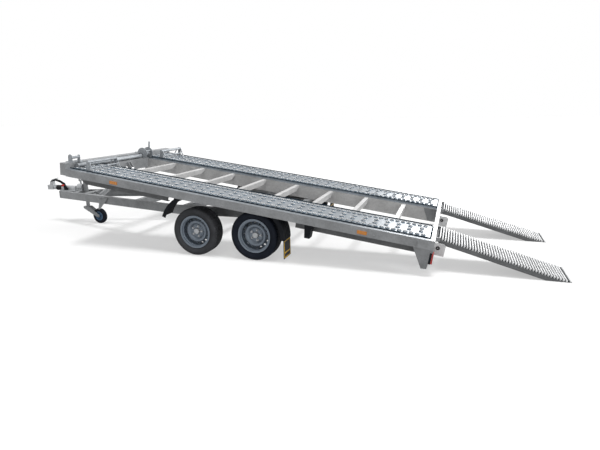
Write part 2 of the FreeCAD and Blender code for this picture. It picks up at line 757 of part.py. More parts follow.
def corner_plate():
    """Gusset at the rear corner, reaching down behind the ramp's hinge."""
    u0, u1 = rear_beam_end - 185.0, rear_beam_end
    back = u1 - lamp_setback
    profile = [(u0, -rail_depth), (u1, -rail_depth), (u1, lamp_h[1] + 4), (back, lamp_h[1] + 4), (back, -250),
               (back - 6, -276), (u1 - 80, -281)]
    outer = side_plate(profile, deck_half_width - 6, deck_half_width)
    outer = outer.cut(box(rear_beam_u[0], u1 + 1, 0, deck_half_width - rail_wall, -rear_beam_depth, 0))
    shelf = box(rear_beam_u[0], back, deck_half_width - 80, deck_half_width - 6, -190, -rear_beam_depth)
    return fuse([outer, shelf])


def tail_lamp():
    u0 = rear_beam_end - lamp_setback
    return box(u0, u0 + 20, deck_half_width - 96, deck_half_width - 1, *lamp_h)


def tail_lens():
    u0 = rear_beam_end - lamp_setback + 20
    return box(u0, u0 + 16, deck_half_width - 92, deck_half_width - 3, lamp_h[0] + 4, lamp_h[1] - 4)


def side_markers():
    w = deck_half_width
    return [box(u - 47, u + 47, w, w + 10, -68, -36) for u in (667.0, deck_length - 669.0)]


def locking_lugs():
    """Eyed plates behind the rear beam."""
    pieces = []
    u1 = rear_beam_end
    for y in (250.0, ramp_outer + 32.0):
        profile = [(u1, -50), (u1 + 84, -50), (u1 + 104, -70), (u1 + 100, -172), (u1 + 12, -168), (u1, -160)]
        eye = rod((u1 + 36, y - 6, -98), (u1 + 36, y + 6, -98), lashing_eye_radius)
        plate = side_plate(profile, y - 5, y + 5).cut(eye)
        foot = box(rear_beam_u[0] + 6, u1, y - 5, y + 5, -166, -rear_beam_depth)
        pieces.append(fuse([plate, foot]))
    return pieces


def ramp_bars():
    """Round bars that the ramps' eyes hang on, each between two ears on the rear beam."""
    gap = ear_thickness + 6
    y0, y1 = ramp_inner - gap, ramp_outer + gap
    pieces = [rod((hinge_u, y0, hinge_h), (hinge_u, y1, hinge_h), hinge_bar_radius)]
    for y in (y0, y1 - ear_thickness):
        ear = [(rear_beam_end, hinge_h - 26), (rear_beam_end, hinge_h + 18), (hinge_u + 14, hinge_h + 18),
               (hinge_u + 20, hinge_h), (hinge_u + 14, hinge_h - 18)]
        pieces.append(side_plate(ear, y, y + ear_thickness))
    return fuse(pieces)


# ---------------------------------------------------------------- winch and front fittings
def winch_frame():
    """Two round-topped plates straddling the front beam's rear edge, on a base plate."""
    top = front_beam_h[1]
    base = box(-74, 2, winch_y[0] - 20, winch_y[1] + 24, top, top + 6)
    beam = box(-200, 2, winch_y[0] - 1, winch_y[1] + 8, -200, top)
    plates = []
    for y in winch_y:
        disc = rod((drum_u, y, drum_h), (drum_u, y + 5, drum_h), winch_radius)
        disc = disc.common(box(-200, 300, y, y + 5, 1, 400)).cut(beam)
        plates.append(disc)
    spacer = rod((drum_u + 44, winch_y[0], drum_h + 40), (drum_u + 44, winch_y[1] + 5, drum_h + 40), 8)
    hole = rod((drum_u, winch_y[0] - 1, drum_h), (drum_u, winch_y[1] + 6, drum_h), 9 + running_gap)
    return fuse([base, spacer] + plates).cut(hole)


def winch_drum():
    shaft = rod((drum_u, winch_y[0] - 6, drum_h), (drum_u, winch_y[1] + 26, drum_h), 9)
    core = rod((drum_u, winch_y[0] + 9, drum_h), (drum_u, winch_y[1] - 4, drum_h), 34)
    return fuse([shaft, core])


def winch_crank():
    """Flat arm standing up from the shaft's end, with an upright grip."""
    y = winch_y[1] + 20
    arm = box(drum_u - 11, drum_u + 11, y, y + 6, drum_h - 16, drum_h + 112)
    grip = rod((drum_u, y + 3, drum_h + 92), (drum_u, y + 3, drum_h + 158), 12)
    return fuse([arm, grip])


def rope_post():
    """Two upright plates with rounded heads on the front beam's left end, and the tube beside the beam."""
    top = front_beam_h[1]
    base = box(-76, -10, post_y[0] - 30, post_y[1] + 36, top, top + 6)
    plate = side_plate([(-70, top), (-10, top), (-10, top + 60), (-70, top + 60)], post_y[0], post_y[0] + 6)
    head = rod((-40, post_y[0], top + 60), (-40, post_y[0] + 6, top + 60), 30)
    second = side_plate([(-64, top), (-18, top), (-26, top + 74), (-56, top + 74)], post_y[1], post_y[1] + 6)
    bar = rod((-40, post_y[0] + 6, top + 50), (-40, post_y[1], top + 50), 16)
    return fuse([base, plate, head, second, bar, front_tube()])


def front_tube():
    """Round tube behind the front beam, on brackets, and the strap that joins it to the post."""
    y0, y1 = front_tube_y
    h = front_tube_radius + 1.5
    bar = rod((front_tube_u, y0, h), (front_tube_u, y1, h), front_tube_radius)
    brackets = [box(front_beam_u[1], front_tube_u, y - 4, y + 4, h - 14, h + 14)
                for y in (y0 + 60, 0, y1 - 20)]
    strap = box(-40, front_tube_u, y0 + 60, y0 + 100, front_beam_h[1], front_beam_h[1] + 6)
    hanger = box(front_tube_u - 6, front_tube_u, y0 + 60, y0 + 100, h, front_beam_h[1] + 6)
    return fuse([bar, strap, hanger] + brackets)


def wheel_stop():
    """Frame that holds a car's front wheel: braced end plates, a main tube on top and two thin rods."""
    y0, y1 = stop_y
    u0 = stop_u
    end = [(u0 + 36, 0), (u0 + 146, 0), (u0 + 132, 8), (u0 + 84, 104), (u0 + 62, 122), (u0 + 36, 122)]
    window = [(u0 + 80, 14), (u0 + 118, 14), (u0 + 80, 84)]
    pieces = []
    for y in (y0, y1 - 6):
        pieces.append(side_plate(end, y, y + 6).cut(side_plate(window, y - 1, y + 7)))
    pieces.append(rod((u0 + 58, y0 - 12, 104), (u0 + 58, y1 + 12, 104), 17))
    pieces.append(rod((u0 + 104, y0, 46), (u0 + 104, y1, 46), 7))
    pieces.append(box(u0 + 40, u0 + 80, y0, y1, 0, 4))
    for y in (y0 + 40, y1 - 52):
        pieces.append(rod((u0 + 44, y, 100), (u0 + 2, y, 8), 7))
        pieces.append(box(u0 - 8, u0 + 40, y - 7, y + 7, 0, 6))
    return fuse(pieces)


# ---------------------------------------------------------------- ramps
def ramp():
    """Two channels bored for the hinge bar, bevelled to the ground, with cross bars between them."""
    s_start = 20.0
    web = [(s_start, ramp_bottom), (ramp_length - ramp_bevel, ramp_bottom), (ramp_length, ramp_tip),
           (ramp_length, ramp_top), (-8, ramp_top), (-14, 8), (-14, -10), (0, -22)]
    webs = []
    for y, inward in ((ramp_inner, 1), (ramp_outer, -1)):
        y0, y1 = sorted((y, y + inward * ramp_wall))
        plate = side_plate(web, y0, y1).cut(rod((0, y0 - 1, 0), (0, y1 + 1, 0), hinge_bar_radius + hinge_gap))
        lip0, lip1 = sorted((y, y + inward * 32))
        lip = box(s_start + 10, ramp_length - ramp_bevel, lip0, lip1, ramp_bottom, ramp_bottom + 5)
        webs += [plate, lip]
    pitch = (ramp_length - 90) / grate_count
    bars = [box(40 + i * pitch, 44 + i * pitch, ramp_inner + 2, ramp_outer - 2, ramp_top - 16, ramp_top - 1)
            for i in range(grate_count + 1)]
    end_bar = box(ramp_length - 16, ramp_length, ramp_inner + 2, ramp_outer - 2, ramp_tip, ramp_top)
    return fuse(webs + bars + [end_bar])


def place_ramp(shape):
    placed = shape.copy()
    placed.rotate(V(0, 0, 0), Y_AXIS, math.degrees(ramp_angle))
    placed.translate(V(hinge_x, 0, hinge_z))
    return placed


# ---------------------------------------------------------------- tilt cylinder
eye_x, eye_z = deck_point(cylinder_eye_u, cylinder_eye_h)
cylinder_angle = math.atan2(eye_z - cylinder_foot_z, eye_x - cylinder_foot_x)
eye_distance = math.hypot(eye_z - cylinder_foot_z, eye_x - cylinder_foot_x)


def place_cylinder(shape):
    """From along +X at the origin to the line from foot to rod eye."""
    placed = shape.copy()
    placed.rotate(V(0, 0, 0), Y_AXIS, -math.degrees(cylinder_angle))
    placed.translate(V(cylinder_foot_x, 0, cylinder_foot_z))
    return placed


def cylinder_barrel():
    body = tube((30, 0, 0), (cylinder_length, 0, 0), cylinder_radius, cylinder_radius - 6)
    base = rod((24, 0, 0), (44, 0, 0), cylinder_radius)
    gland = tube((cylinder_length - 24, 0, 0), (cylinder_length, 0, 0), cylinder_radius,
                 rod_radius + running_gap)
    knuckle = rod((0, -cylinder_radius, 0), (0, cylinder_radius, 0), 20)
    neck = box(0, 30, -18, 18, -18, 18)
    hole = rod((0, -cylinder_radius - 1, 0), (0, cylinder_radius + 1, 0), eye_pin_radius + running_gap)
    return fuse([body, base, gland, knuckle, neck]).cut(hole)


def cylinder_rod():
    shaft_end = eye_distance - eye_radius + eye_overlap
    shaft = rod((cylinder_length - rod_insertion, 0, 0), (shaft_end, 0, 0), rod_radius)
    eye = rod((eye_distance, -eye_half, 0), (eye_distance, eye_half, 0), eye_radius)
    hole = rod((eye_distance, -eye_half - 1, 0), (eye_distance, eye_half + 1, 0), eye_pin_radius + running_gap)
    return fuse([shaft, eye]).cut(hole)


# ---------------------------------------------------------------- export
def main():
    os.makedirs("parts", exist_ok=True)

    arm = drawbar_arm()
    save("drawbar_arms", pair(arm))
    save("cross_members", cross_members())
    save("pivot_pins", pair(pivot_pin()))
    save("overrun_housing", [overrun_housing()])
    save("coupling_gaiter", [gaiter()])
    save("coupling_head", [coupling_head()])
    save("coupling_handle", [coupling_handle()])
    save("handbrake_lever", [handbrake()])
    save("handbrake_grip", [handbrake_grip()])
    save("hand_pump", [hand_pump()])
    save("latch_bracket", [latch_bracket()])
    save("jockey_sleeve", [jockey_sleeve()])

    for end, x in wheel_xs.items():
        save("axle_%s" % end, [axle(x)])
        for name, side in (("left", -1), ("right", 1)):
            save("tyre_%s_%s" % (end, name), [tyre(x, side)])
            save("rim_%s_%s" % (end, name), [rim(x, side)])
            save("brake_drum_%s_%s" % (end, name), [brake_drum(x, side)])

    save("jockey_leg", [jockey_leg()])
    save("jockey_fork", [jockey_fork()])
    save("jockey_tyre", [jockey_tyre()])
    save("jockey_rim", [jockey_rim()])

    deck_pairs = {
        "side_rails": [side_rail()], "inner_beams": [inner_beam()], "stringers": stringers(),
        "pivot_lugs": [pivot_lug()],
        "wheel_chocks": [chock()], "corner_plates": [corner_plate()],
        "tail_lamps": [tail_lamp()], "tail_lenses": [tail_lens()], "side_markers": side_markers(),
        "ramp_bars": [ramp_bars()], "wheel_stops": [wheel_stop()], "rear_gussets": [rear_gusset()],
    }
    for node, shapes in deck_pairs.items():
        save(node, [on_deck(side) for shape in shapes for side in pair(shape)])

    eyed_plates = [plate for lug in locking_lugs() for plate in pair(lug)]
    deck_singles = {
        "front_beam": [front_beam()], "rear_beam": [fuse([rear_beam()] + eyed_plates)],
        "deck_ribs": ribs(), "front_wall": [front_wall()],
        "track_right": [track()], "track_left": [mirror(track())], "winch_frame": [winch_frame()],
        "winch_drum": [fuse([winch_drum(), winch_crank()])], "rope_post": [rope_post()],
    }
    for node, shapes in deck_singles.items():
        save(node, [on_deck(shape) for shape in shapes])

    save("mudguards", [side for guard in mudguards() for side in pair(guard)])
    save("mud_flaps", pair(mud_flap()))
    save("ramp_right", [place_ramp(ramp())])
    save("ramp_left", [place_ramp(mirror(ramp()))])
    save("cylinder_barrel", [place_cylinder(cylinder_barrel())])
    save("cylinder_rod", [place_cylinder(cylinder_rod())])

    print("middle_x %.3f, ramp hinge %.3f %.3f" % (middle_x, hinge_x, hinge_z))
    print("cylinder eye %.3f %.3f, angle %.4f" % (eye_x, eye_z, math.degrees(cylinder_angle)))


main()
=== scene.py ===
"""Tilt-bed car trailer in galvanised steel, parked with the bed tipped and both ramps down.

Metres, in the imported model's frame: +X rearward, +Y to the trailer's right, +Z up, origin on the ground.
Deck frame (u, y, h): u rearward from the deck's front edge, h up from its top face.
Ramp frame (s, y, t): s along the ramp from its hinge bar, t up from the bar.
"""
import json
import math
import bmesh
import bpy
import numpy as np
from mathutils import Matrix, Vector


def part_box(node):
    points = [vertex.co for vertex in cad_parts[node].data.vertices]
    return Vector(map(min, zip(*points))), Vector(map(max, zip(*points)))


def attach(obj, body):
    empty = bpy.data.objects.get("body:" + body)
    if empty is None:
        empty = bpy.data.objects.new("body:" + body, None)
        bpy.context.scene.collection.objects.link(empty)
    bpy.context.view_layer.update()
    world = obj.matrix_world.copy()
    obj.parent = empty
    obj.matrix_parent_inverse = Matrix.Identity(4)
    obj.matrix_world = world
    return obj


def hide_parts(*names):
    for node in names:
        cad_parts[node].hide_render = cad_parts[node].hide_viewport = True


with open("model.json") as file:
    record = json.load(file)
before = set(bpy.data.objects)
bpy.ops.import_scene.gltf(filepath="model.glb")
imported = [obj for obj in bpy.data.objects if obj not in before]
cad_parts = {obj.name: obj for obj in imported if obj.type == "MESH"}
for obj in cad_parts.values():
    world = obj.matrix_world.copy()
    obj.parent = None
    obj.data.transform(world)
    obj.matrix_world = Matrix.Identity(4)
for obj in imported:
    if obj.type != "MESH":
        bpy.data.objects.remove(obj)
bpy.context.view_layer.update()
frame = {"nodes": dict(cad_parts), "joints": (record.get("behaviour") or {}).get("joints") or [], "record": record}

SCENE = bpy.context.scene
NODES = frame["nodes"]
JOINTS = {j["name"]: j for j in frame["joints"]}

# ---------------------------------------------------------------- sizes shared with the frame
TILT = math.radians(7.98)
PIVOT = Vector(JOINTS["deck_tilt"]["pos_m"])
DECK_LEAD = 1.997
DECK_RISE = 0.220
RAMP_LENGTH = 1.190
RAMP_TIP = 0.012
RAMP_TOP = 0.022
RAMP_BOTTOM = -0.043
RAMP_BEVEL = 0.200
RAMP_INNER = 0.447
RAMP_OUTER = 0.868
TRACK_INNER = 0.430
PLANK_INNER = 0.478
LEDGE_DROP = 0.018
TRACK_OUTER = 1.042
TRACK_LENGTH = 4.137
DECK_LENGTH = 4.175
PLATE = 0.003
HALF_WIDTH = 1.046
TYRE_RADIUS = 0.2625
TYRE_HALF = 0.0975
BEAD_RADIUS = 0.165
HINGE = Vector(JOINTS["ramp_left"]["pos_m"])
RAMP_ANGLE = math.atan2(RAMP_TIP, RAMP_LENGTH) + math.asin(HINGE.z / math.hypot(RAMP_LENGTH, RAMP_TIP))

DECK_MATRIX = (Matrix.Translation(PIVOT) @ Matrix.Rotation(TILT, 4, "Y")
               @ Matrix.Translation((-DECK_LEAD, 0, DECK_RISE)))
RAMP_MATRIX = Matrix.Translation((HINGE.x, 0, HINGE.z)) @ Matrix.Rotation(RAMP_ANGLE, 4, "Y")


# ---------------------------------------------------------------- mesh helpers
class Mesh:
    """Collects points and faces for one piece."""

    def __init__(self):
        self.points = []
        self.faces = []

    def add(self, points, faces):
        base = len(self.points)
        self.points += [tuple(p) for p in points]
        self.faces += [tuple(base + i for i in f) for f in faces]

    def box(self, x0, x1, y0, y1, z0, z1):
        p = [(x, y, z) for x in (x0, x1) for y in (y0, y1) for z in (z0, z1)]
        self.add(p, [(0, 1, 3, 2), (4, 6, 7, 5), (0, 4, 5, 1), (2, 3, 7, 6), (0, 2, 6, 4), (1, 5, 7, 3)])

    def plate(self, outline, y0, y1):
        """Outline in x, z pushed from y0 to y1."""
        n = len(outline)
        points = [(x, y0, z) for x, z in outline] + [(x, y1, z) for x, z in outline]
        sides = [(i, (i + 1) % n, n + (i + 1) % n, n + i) for i in range(n)]
        self.add(points, sides + [tuple(range(n - 1, -1, -1)), tuple(range(n, 2 * n))])

    def loops(self, loops, closed_ends=False):
        """Skin a run of equal loops."""
        n = len(loops[0])
        faces = []
        for k in range(len(loops) - 1):
            a, b = k * n, (k + 1) * n
            faces += [(a + i, a + (i + 1) % n, b + (i + 1) % n, b + i) for i in range(n)]
        if closed_ends:
            faces += [tuple(range(n - 1, -1, -1)), tuple(range((len(loops) - 1) * n, len(loops) * n))]
        self.add([p for loop in loops for p in loop], faces)

    def rod(self, start, end, radius, sides=16):
        a, b = Vector(start), Vector(end)
        turn = (b - a).to_track_quat("Z", "Y")
        ring = [turn @ Vector((radius * math.cos(t), radius * math.sin(t), 0))
                for t in np.linspace(0, 2 * math.pi, sides, endpoint=False)]
        self.loops([[a + r for r in ring], [b + r for r in ring]], closed_ends=True)

    def lathe(self, profile, centre, steps=96, shape=None):
        """Turn a profile of (y, r) about the y axis; shape may change a radius by step."""
        loops = []
        for y, r in profile:
            loop = []
            for i in range(steps):
                t = 2 * math.pi * i / steps
                q = shape(i, y, r) if shape else r
                loop.append((centre[0] + q * math.cos(t), centre[1] + y, centre[2] + q * math.sin(t)))
            loops.append(loop)
        n, count = steps, len(profile)
        faces = []
        for k in range(count):
            a, b = k * n, ((k + 1) % count) * n
            faces += [(a + i, a + (i + 1) % n, b + (i + 1) % n, b + i) for i in range(n)]
        self.add([p for loop in loops for p in loop], faces)

    def build(self, name, material, matrix=None, mirror=False, smooth=None, bevel=0.0):
        mesh = bpy.data.meshes.new(name)
        mesh.from_pydata(self.points, [], self.faces)
        piece = bpy.data.objects.new(name, mesh)
        SCENE.collection.objects.link(piece)
        if mirror:
            mesh.transform(Matrix.Scale(-1, 4, (0, 1, 0)))
        if matrix:
            mesh.transform(matrix)
        tidy_normals(mesh)
        mesh.materials.append(material)
        if smooth is not None:
            mesh.shade_smooth()
            mesh.set_sharp_from_angle(angle=math.radians(smooth))
        if bevel:
            mod = piece.modifiers.new("edges", "BEVEL")
            mod.width = bevel
            mod.segments = 2
            mod.limit_method = "ANGLE"
            mod.angle_limit = math.radians(40)
            mod.harden_normals = False
        return piece


def tidy_normals(mesh):
    """Point every face outward."""
    work = bmesh.new()
    work.from_mesh(mesh)
    bmesh.ops.recalc_face_normals(work, faces=work.faces)
    work.to_mesh(mesh)
    work.free()


def seat(piece, body, slot, *nodes):
    """Let a piece ride on a body and stand for CAD nodes; the slot is not used."""
    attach(piece, body)
    if nodes:
        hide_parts(*nodes)
    return piece


# ---------------------------------------------------------------- materials
def start_material(name):
    material = bpy.data.materials.new(name)
    material.use_nodes = True
    tree = material.node_tree
    return material, tree, tree.nodes["Principled BSDF"]


def link(tree, a, out, b, into):
    tree.links.new(a.outputs[out], b.inputs[into])


def texture(tree, kind, scale, **values):
    node = tree.nodes.new(kind)
    node.inputs["Scale"].default_value = scale
    for key, value in values.items():
        node.inputs[key].default_value = value
    place = tree.nodes.get("Place") or tree.nodes.new("ShaderNodeTexCoord")
    place.name = "Place"
    link(tree, place, "Object", node, "Vector")
    return node


def ramp(tree, source, out, stops):
    node = tree.nodes.new("ShaderNodeValToRGB")
    elements = node.color_ramp.elements
    while len(elements) < len(stops):
        elements.new(0.5)
    for element, (at, colour) in zip(elements, stops):
        element.position = at
        element.color = (*colour, 1) if len(colour) == 3 else colour
    link(tree, source, out, node, "Fac")
    return node


def blend_colour(tree, mode, factor, a, b):
    node = tree.nodes.new("ShaderNodeMix")
    node.data_type = "RGBA"
    node.blend_type = mode
    node.inputs["Factor"].default_value = factor
    tree.links.new(a, node.inputs["A"])
    tree.links.new(b, node.inputs["B"])
    return node.outputs["Result"]


def bump(tree, source, out, strength, distance, shader):
    node = tree.nodes.new("ShaderNodeBump")
    node.inputs["Strength"].default_value = strength
    node.inputs["Distance"].default_value = distance
    link(tree, source, out, node, "Height")
    link(tree, node, "Normal", shader, "Normal")


def grey(v, tint=0.0):
    """A grey with a slight cool tint."""
    return (v * (1 - tint), v, v * (1 + tint))


def galvanised(name, dark, light, metallic=0.35, roughness=0.46, tint=0.03, sheen=0.5):
    """Hot-dip zinc: spangle of crystals over a broad, cloudy mottle."""
    material, tree, shader = start_material(name)
    cloud = texture(tree, "ShaderNodeTexNoise", 5.0, Detail=5.0, Roughness=0.6)
    crystal = texture(tree, "ShaderNodeTexVoronoi", 75.0)
    streak = texture(tree, "ShaderNodeTexNoise", 34.0, Detail=3.0)
    base = ramp(tree, cloud, "Fac", [(0.30, grey(dark, tint)), (0.70, grey(light, tint))])
    spangle = ramp(tree, crystal, "Color", [(0.2, grey(0.86)), (0.8, grey(1.0))])
    soft = ramp(tree, streak, "Fac", [(0.35, grey(0.90)), (0.65, grey(1.0))])
    colour = blend_colour(tree, "MULTIPLY", 0.8, base.outputs["Color"], spangle.outputs["Color"])
    colour = blend_colour(tree, "MULTIPLY", 0.7, colour, soft.outputs["Color"])
    tree.links.new(colour, shader.inputs["Base Color"])
    rough = ramp(tree, streak, "Fac", [(0.3, grey(roughness - 0.07)), (0.7, grey(roughness + 0.09))])
    link(tree, rough, "Color", shader, "Roughness")
    shader.inputs["Metallic"].default_value = metallic
    shader.inputs["Specular IOR Level"].default_value = sheen
    bump(tree, crystal, "Distance", 0.08, 0.0006, shader)
    return material


def moulded(name, colour, roughness=0.55, grain=420.0, strength=0.15, sheen=0.18):
    """Moulded plastic or rubber with a fine grain and slightly dusty patches."""
    material, tree, shader = start_material(name)
    shader.inputs["Specular IOR Level"].default_value = sheen
    dust = texture(tree, "ShaderNodeTexNoise", 14.0, Detail=4.0)
    fine = texture(tree, "ShaderNodeTexNoise", grain, Detail=2.0)
    lighter = tuple(min(1.0, c * 1.35 + 0.006) for c in colour)
    base = ramp(tree, dust, "Fac", [(0.35, colour), (0.75, lighter)])
    link(tree, base, "Color", shader, "Base Color")
    rough = ramp(tree, dust, "Fac", [(0.3, grey(roughness - 0.06)), (0.7, grey(roughness + 0.08))])
    link(tree, rough, "Color", shader, "Roughness")
    bump(tree, fine, "Fac", strength, 0.0004, shader)
    return material


def painted(name, colour, metallic=0.4, roughness=0.38):
    """Silver wheel paint with a faint orange peel."""
    material, tree, shader = start_material(name)
    shade = texture(tree, "ShaderNodeTexNoise", 11.0, Detail=3.0)
    peel = texture(tree, "ShaderNodeTexNoise", 300.0, Detail=1.0)
    darker = tuple(c * 0.86 for c in colour)
    base = ramp(tree, shade, "Fac", [(0.3, darker), (0.7, colour)])
    link(tree, base, "Color", shader, "Base Color")
    rough = ramp(tree, shade, "Fac", [(0.3, grey(roughness)), (0.7, grey(roughness + 0.08))])
    link(tree, rough, "Color", shader, "Roughness")
    shader.inputs["Metallic"].default_value = metallic
    bump(tree, peel, "Fac", 0.08, 0.0003, shader)
    return material


def lens(name, colour):
    material, tree, shader = start_material(name)
    wave = texture(tree, "ShaderNodeTexWave", 60.0)
    base = ramp(tree, wave, "Fac", [(0.0, tuple(c * 0.75 for c in colour)), (1.0, colour)])
    link(tree, base, "Color", shader, "Base Color")
    shader.inputs["Roughness"].default_value = 0.18
    shader.inputs["Coat Weight"].default_value = 0.4
    bump(tree, wave, "Fac", 0.3, 0.0008, shader)
    return material


ZINC = galvanised("zinc", 0.22, 0.32, metallic=0.25, sheen=0.3)
ZINC_WEB = galvanised("zinc_web", 0.39, 0.52, metallic=0.20, sheen=0.3, tint=0.0)
ZINC_DARK = galvanised("zinc_dark", 0.11, 0.16, metallic=0.2, sheen=0.2)
ZINC_TRACK = galvanised("zinc_track", 0.20, 0.29, metallic=0.55, roughness=0.38, tint=0.10, sheen=0.4)
ZINC_BRIGHT = galvanised("zinc_bright", 0.46, 0.60, metallic=0.25, roughness=0.42, tint=0.01, sheen=0.3)
# Collar tops: zinc lightened well past the plate's tone, a painted highlight on the raised rims.
COLLAR_TOP_HIGHLIGHT = galvanised("collar_top_painted_highlight", 0.66, 0.80, metallic=0.15, roughness=0.42, tint=0.0, sheen=0.3)
ZINC_MID = galvanised("zinc_mid", 0.26, 0.38, metallic=0.35, roughness=0.42, tint=0.06, sheen=0.4)
ZINC_SIDE = galvanised("zinc_side", 0.17, 0.25, metallic=0.25, sheen=0.3)
# Plank lips: near-black bluish zinc with no reflection, painted shade on the upturned edges.
LIP_EDGE_SHADE = galvanised("zinc_lip_painted_shade", 0.022, 0.038, metallic=0.0, roughness=0.85, tint=0.50, sheen=0.0)
# Collar sides: darker, bluer zinc, painted shade on the outer slopes of the collars.
COLLAR_SIDE_SHADE = galvanised("collar_side_painted_shade", 0.10, 0.15, metallic=0.2, roughness=0.50, tint=0.32, sheen=0.2)
HOLE_SHADE = galvanised("hole_shade", 0.016, 0.028, metallic=0.0, roughness=0.9, tint=0.50, sheen=0.0)
ZINC_SHADE = galvanised("zinc_shade", 0.012, 0.020, metallic=0.0, roughness=0.9, tint=0.25, sheen=0.0)
CASTING = galvanised("casting", 0.36, 0.50, metallic=0.5, roughness=0.42)
RIM = painted("rim_silver", (0.150, 0.178, 0.214), metallic=0.45, roughness=0.36)
TYRE = moulded("tyre", (0.026, 0.027, 0.030), roughness=0.72, grain=260.0)
TYRE_DARK = moulded("tyre_dark", (0.004, 0.006, 0.011), roughness=0.66, grain=260.0, sheen=0.10)
RUBBER = moulded("rubber", (0.012, 0.012, 0.013), roughness=0.66)
BLACK = moulded("black_plastic", (0.006, 0.007, 0.009), roughness=0.60, sheen=0.08)
RED = moulded("red_plastic", (0.42, 0.02, 0.015), roughness=0.35)
BLUE_RIM = moulded("blue_rim", (0.06, 0.11, 0.18), roughness=0.38)
YELLOW = moulded("yellow", (0.48, 0.29, 0.02), roughness=0.5)
DRUM = painted("drum", (0.025, 0.025, 0.027), metallic=0.2, roughness=0.7)
CHROME = painted("rod", (0.62, 0.63, 0.64), metallic=1.0, roughness=0.14)
RED_LENS = lens("red_lens", (0.42, 0.012, 0.01))
AMBER_LENS = lens("amber_lens", (0.55, 0.19, 0.006))

SLOT_MATERIAL = {
    "galvanised_steel": ZINC, "tyre_rubber": TYRE_DARK, "wheel_steel": RIM, "cast_drum": DRUM,
    "jockey_rim_plastic": BLUE_RIM, "black_rubber": RUBBER, "black_plastic": BLACK, "black_metal": BLACK,
    "red_plastic": RED, "red_lens": RED_LENS, "amber_lens": AMBER_LENS, "silver_casting": CASTING,
    "chromed_rod": CHROME,
}
NODE_MATERIAL = {
    "rear_beam": ZINC_BRIGHT, "inner_beams": ZINC_WEB, "rear_gussets": ZINC_SIDE, "deck_ribs": ZINC_WEB,
    "corner_plates": ZINC_SIDE, "stringers": ZINC_DARK, "front_wall": ZINC, "rope_post": ZINC_MID,
    "winch_frame": ZINC_MID, "winch_drum": ZINC_MID, "wheel_stops": ZINC_MID,
}


def finish_cad_nodes():
    for entry in frame["record"]["subparts"]:
        node = NODES[entry["node"]]
        material = NODE_MATERIAL.get(entry["node"], SLOT_MATERIAL[entry["material_slot"]])
        node.data.materials.clear()
        node.data.materials.append(material)


# ---------------------------------------------------------------- camera, floor, light
CAMERA_PLACE = (2.32394, -5.21103, 1.52489)
CAMERA_TURN = (-0.32713, -0.24506, -0.02159)
CAMERA_LENS = 27.53
FLOOR_HALF = 60.0
FLOOR_GREY = 0.40
FLOOR_GLOW = 0.46
AMBIENT = 0.40
SUNS = (
    ("overhead", (0.3, -0.4, 6.0), 2.6, 18.0),
    ("near", (2.0, -6.0, 4.0), 0.4, 40.0),
    ("rear", (8.0, -1.2, 2.9), 2.2, 20.0),
)
FAR_LAMP_PLACE = (3.0, 7.0, 2.4)
FAR_LAMP_AIM = (1.6, 0.0, 0.4)


def set_camera():
    yaw, pitch, roll = CAMERA_TURN
    forward = Vector((math.sin(yaw) * math.cos(pitch), math.cos(yaw) * math.cos(pitch), math.sin(pitch)))
    right = forward.cross(Vector((0, 0, 1))).normalized()
    up = right.cross(forward)
    right_r = right * math.cos(roll) + up * math.sin(roll)
    up_r = up * math.cos(roll) - right * math.sin(roll)
    data = bpy.data.cameras.new("camera")
    data.sensor_width = 36.0
    data.lens = CAMERA_LENS
    camera = bpy.data.objects.new("camera", data)
    SCENE.collection.objects.link(camera)
    turn = Matrix((right_r, up_r, -forward)).transposed().to_4x4()
    camera.matrix_world = Matrix.Translation(CAMERA_PLACE) @ turn
    SCENE.camera = camera


def seen_directly(tree):
    """1 for camera, glossy and transmission rays."""
    path = tree.nodes.new("ShaderNodeLightPath")
    total = None
    for name in ("Is Camera Ray", "Is Glossy Ray", "Is Transmission Ray"):
        if total is None:
            total = path.outputs[name]
            continue
        add = tree.nodes.new("ShaderNodeMath")
        add.operation = "MAXIMUM"
        tree.links.new(total, add.inputs[0])
        tree.links.new(path.outputs[name], add.inputs[1])
        total = add.outputs[0]
    return total


def set_stage():
    mesh = Mesh()
    size = FLOOR_HALF
    mesh.add([(-size, -size, 0), (size, -size, 0), (size, size, 0), (-size, size, 0)], [(0, 1, 2, 3)])
    material = bpy.data.materials.new("floor")
    material.use_nodes = True
    tree = material.node_tree
    tree.nodes.clear()
    out = tree.nodes.new("ShaderNodeOutputMaterial")
    diffuse = tree.nodes.new("ShaderNodeBsdfDiffuse")
    diffuse.inputs["Color"].default_value = (FLOOR_GREY, FLOOR_GREY, FLOOR_GREY, 1)
    glow = tree.nodes.new("ShaderNodeEmission")
    glow.inputs["Color"].default_value = (1, 1, 1, 1)
    scale = tree.nodes.new("ShaderNodeMath")
    scale.operation = "MULTIPLY"
    scale.inputs[1].default_value = FLOOR_GLOW
    tree.links.new(seen_directly(tree), scale.inputs[0])
    tree.links.new(scale.outputs[0], glow.inputs["Strength"])
    add = tree.nodes.new("ShaderNodeAddShader")
    link(tree, diffuse, "BSDF", add, 0)
    link(tree, glow, "Emission", add, 1)
    link(tree, add, "Shader", out, "Surface")
    floor = mesh.build("floor", material)


def add_light(data, place, aim):
    light = bpy.data.objects.new(data.name, data)
    light.location = place
    light.rotation_euler = (Vector(aim) - Vector(place)).to_track_quat("-Z", "Y").to_euler()
    SCENE.collection.objects.link(light)


